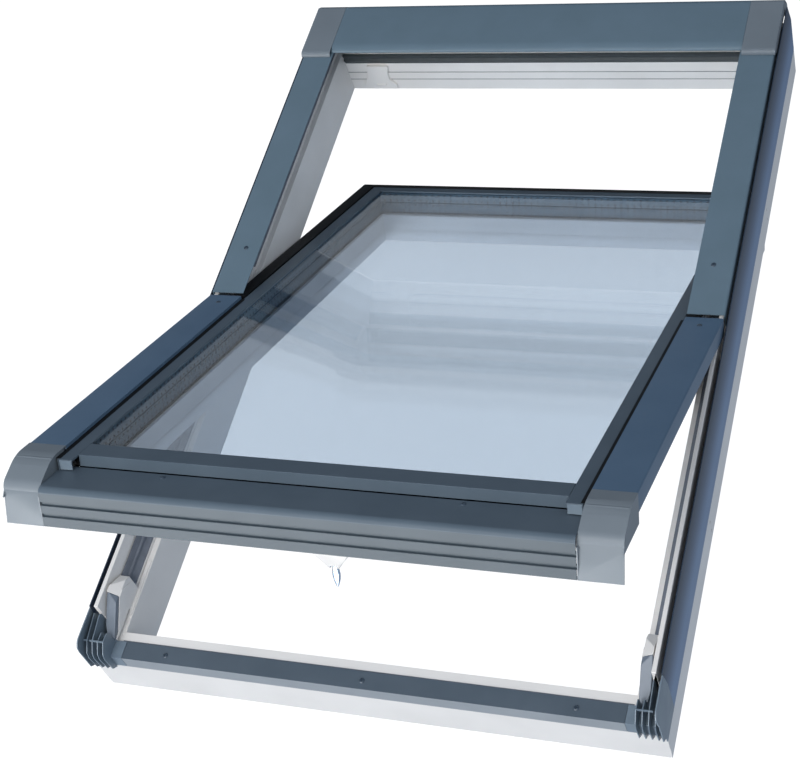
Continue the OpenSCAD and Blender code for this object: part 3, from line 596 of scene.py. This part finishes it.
# Stop block under the hood: a white moulding with a waist between its foot and its head, and a small catch.
# All of its sizes are in mm; heights count from the block's lower end.
block = {"foot": (-326, -268), "head": (-312, -273), "footHeight": 8, "waist": (20, 34), "waistDepth": 5,
         "shoulder": 30, "shoulderStep": 3, "corner": 3.0}
catch = {"across": (-303, -286), "reach": 2.2, "heights": (13, 14, 16, 17.5)}
low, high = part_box("top_stop_block")
z0, z1 = low[2] / mm, high[2] / mm
(footLeft, footRight), (headLeft, headRight) = block["foot"], block["head"]
neck = headRight - block["waistDepth"]
shape = [(footLeft, z0), (footRight, z0), (footRight, z0 + block["footHeight"]),
         (neck, z0 + block["waist"][0]), (neck, z0 + block["waist"][1]), (headRight, z1), (headLeft, z1),
         (headLeft - block["shoulderStep"], z0 + block["shoulder"]), (footLeft, z0 + block["footHeight"])]
loop = fillet(shape + shape[:2], [block["corner"]] * len(shape), 5)[1:-1] * mm
points, faces = carried(loop, "Y", [low[1], high[1]])
piece = newPiece("stop_block", points, faces)
place(piece, "frame", ["top_stop_block"], finishes["white_plastic"], soft=0.8 * mm)
made.add("top_stop_block")
z = np.array(catch["heights"]) * mm
tip = low[1] - catch["reach"] * mm
section = np.array([(low[1], z[0]), (tip, z[1]), (tip, z[2]), (low[1], z[3])])
points, faces = carried(section, "X", np.array(catch["across"]) * mm)
piece = newPiece("stop_catch", points, faces)
place(piece, "frame", [], finishes["white_plastic"], soft=0.3 * mm)
print("new pieces made")

# Everything else keeps its CAD shape, with its bends rounded (mm) as the sheet or moulding has them.
bendGroups = {
    13: "sash_left_cap sash_right_cap",
    4.5: "hood_left_cap hood_right_cap",
    2.5: "sash_left_stile sash_right_stile sash_top_rail sash_bottom_rail",
    2.2: "left_guide_cap right_guide_cap",
    2: "upper_left_cover upper_right_cover sash_left_cover sash_right_cover handle_base",
    1.5: "frame_left_stile frame_right_stile frame_top_rail frame_bottom_rail bottom_rail_cover",
    1.2: "left_guide_block right_guide_block",
    1.1: "bottom_bead",
    0.9: "left_bead right_bead top_bead"}
bends = {node: width for width, group in bendGroups.items() for node in group.split()}
special = {"left_side_cladding": "side_cladding", "right_side_cladding": "side_cladding",
           # the sash covers use the painted-shade copy of the slate coat
           "sash_left_cover": "sash_cladding", "sash_right_cover": "sash_cladding",
           "left_bead": "front_cladding", "right_bead": "front_cladding", "top_bead": "front_cladding",
           "bottom_bead": "front_cladding", "bottom_rail_cover": "bottom_strip"}

# Some pieces have a second finish: the seal's black ends at the side claddings, painted sheen on the bottom
# strip's front faces, painted shade on the upper seal's run under the hood and in the top rail's grooves.
# where the painted groove shade goes: depths in from the rail's inner face, and heights
grooved = {"depths": (0.3 * mm, 2.1 * mm), "heights": (10 * mm, 70 * mm)}
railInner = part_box("frame_top_rail")[0][1]
secondFinish = {
    "lower_frame_seal": ("rubber", lambda middle, normal: abs(middle[:, 0]) > 377 * mm),
    # painted sheen: the front-facing faces of the bottom strip get the lighter finish
    "bottom_rail_cover": ("strip_front_sheen", lambda middle, normal: normal[:, 1] < -0.7),
    # painted shade: the upper seal's run under the hood gets the darker finish
    "upper_frame_seal": ("seal_shade_under_hood", lambda middle, normal: middle[:, 1] > 540 * mm),
    # painted shade: the faces inside the top rail's grooves get the darker finish
    "frame_top_rail": ("groove", lambda middle, normal: between(middle[:, 1] - railInner, grooved["depths"])
                       & between(middle[:, 2], grooved["heights"]))}


for node in nodes:
    if node in made:
        continue
    piece = softened(node, finishes[special.get(node, slotOf[node])], bends.get(node, 0) * mm)
    if node in secondFinish:
        finish, chosen = secondFinish[node]
        tint(piece, finishes[finish], chosen)
print("CAD shapes finished:", len(nodes) - len(made))

# Light, floor and camera. The floor is bright by itself, and shines neither on the window nor into its gloss.
studio = {"floorDrop": 0.33, "floorSize": 40.0, "floorGlow": 0.97, "floorColour": "#6A6A6A",
          "skyColour": "#C0CCDC", "skyStrength": 0.8, "skyBehind": 0.16, "fade": (0.45, 0.9),
          "backdropColour": "#F4F5F6"}
floorHeight = float(cadBox[0][2]) - studio["floorDrop"]
corners = np.array([[-1, -1], [1, -1], [1, 1], [-1, 1]]) * studio["floorSize"] / 2
floorMesh = bpy.data.meshes.new("floor")
floorMesh.from_pydata([(x, y, floorHeight) for x, y in corners.tolist()], [], [(0, 1, 2, 3)])
floor = bpy.data.objects.new("floor", floorMesh)
bpy.context.collection.objects.link(floor)
floorMesh.materials.append(newMaterial("pale matt floor", {
    "Roughness": 0.9, "Emission Strength": studio["floorGlow"], "Base Color": toLinear(studio["floorColour"]),
    "Emission Color": toLinear("#FFFFFF")})[0])
floor.visible_diffuse = False
floor.visible_glossy = False

# The sky is an even soft blue that fades up the slope, which is what the glass mirrors. Seen directly, it
# is a plain pale backdrop.
world = bpy.data.worlds.new("studio")
bpy.context.scene.world = world
world.use_nodes = True
sky = world.node_tree
skyLight = sky.nodes["Background"]
skyLight.inputs["Color"].default_value = toLinear(studio["skyColour"])
direction = addNode(sky, "ShaderNodeTexCoord")
split = addNode(sky, "ShaderNodeSeparateXYZ", links={0: direction.outputs["Generated"]})
strength = addNode(sky, "ShaderNodeMapRange", {
    "From Min": studio["fade"][0], "From Max": studio["fade"][1], "To Min": studio["skyStrength"],
    "To Max": studio["skyBehind"]}, {"Value": split.outputs["Y"]})
sky.links.new(strength.outputs["Result"], skyLight.inputs["Strength"])
backdrop = addNode(sky, "ShaderNodeBackground", {"Color": toLinear(studio["backdropColour"])})
path = addNode(sky, "ShaderNodeLightPath")
either = addNode(sky, "ShaderNodeMixShader", links={
    0: path.outputs["Is Camera Ray"], 1: skyLight.outputs[0], 2: backdrop.outputs[0]})
sky.links.new(either.outputs[0], sky.nodes["World Output"].inputs["Surface"])

# The sheen lamp is only mirrored: it gives the front faces their soft highlight.
lamps = [
    {"name": "key", "at": (-0.3, -2.6, 2.7), "to": (0, 0, 0.1), "size": (2.4, 2.0), "watts": 86},
    {"name": "front", "at": (-1.2, -3.4, 0.55), "to": (0, -0.5, 0.2), "size": (2.6, 1.2), "watts": 18},
    {"name": "sheen", "at": (-1.2, -3.42, 0.5), "to": (0, -0.5, 0.2), "size": (2.8, 1.5), "watts": 130}]
for lamp in lamps:
    data = bpy.data.lights.new(lamp["name"], "AREA")
    data.energy = lamp["watts"]
    data.shape = "RECTANGLE"
    data.size, data.size_y = lamp["size"]
    light = bpy.data.objects.new(lamp["name"], data)
    bpy.context.collection.objects.link(light)
    light.location = lamp["at"]
    light.visible_diffuse = lamp["name"] != "sheen"
    light.visible_camera = False
    aim = Vector(lamp["to"]) - Vector(lamp["at"])
    light.rotation_euler = aim.to_track_quat("-Z", "Y").to_euler()

# The camera stands below and to the right of the window, looking up the slope, and is rolled with the roof.
lens = {"at": (0.77674, -1.43145, 1.98926), "right": (0.93701, 0.24743, -0.24657),
        "up": (-0.06484, 0.8168, 0.57327), "focal": 78.03, "shift": (0.0018, 0.0370)}
cameraData = bpy.data.cameras.new("camera")
camera = bpy.data.objects.new("camera", cameraData)
bpy.context.collection.objects.link(camera)
rightAxis, upAxis = Vector(lens["right"]).normalized(), Vector(lens["up"]).normalized()
backAxis = rightAxis.cross(upAxis).normalized()
turn = Matrix((rightAxis, backAxis.cross(rightAxis), backAxis)).transposed().to_4x4()
camera.matrix_world = Matrix.Translation(lens["at"]) @ turn
cameraData.lens = lens["focal"]
cameraData.sensor_width = 36
cameraData.shift_x, cameraData.shift_y = lens["shift"]
bpy.context.scene.camera = camera
bpy.context.scene.view_settings.view_transform = "Standard"
print("stage set")

bpy.context.view_layer.update()
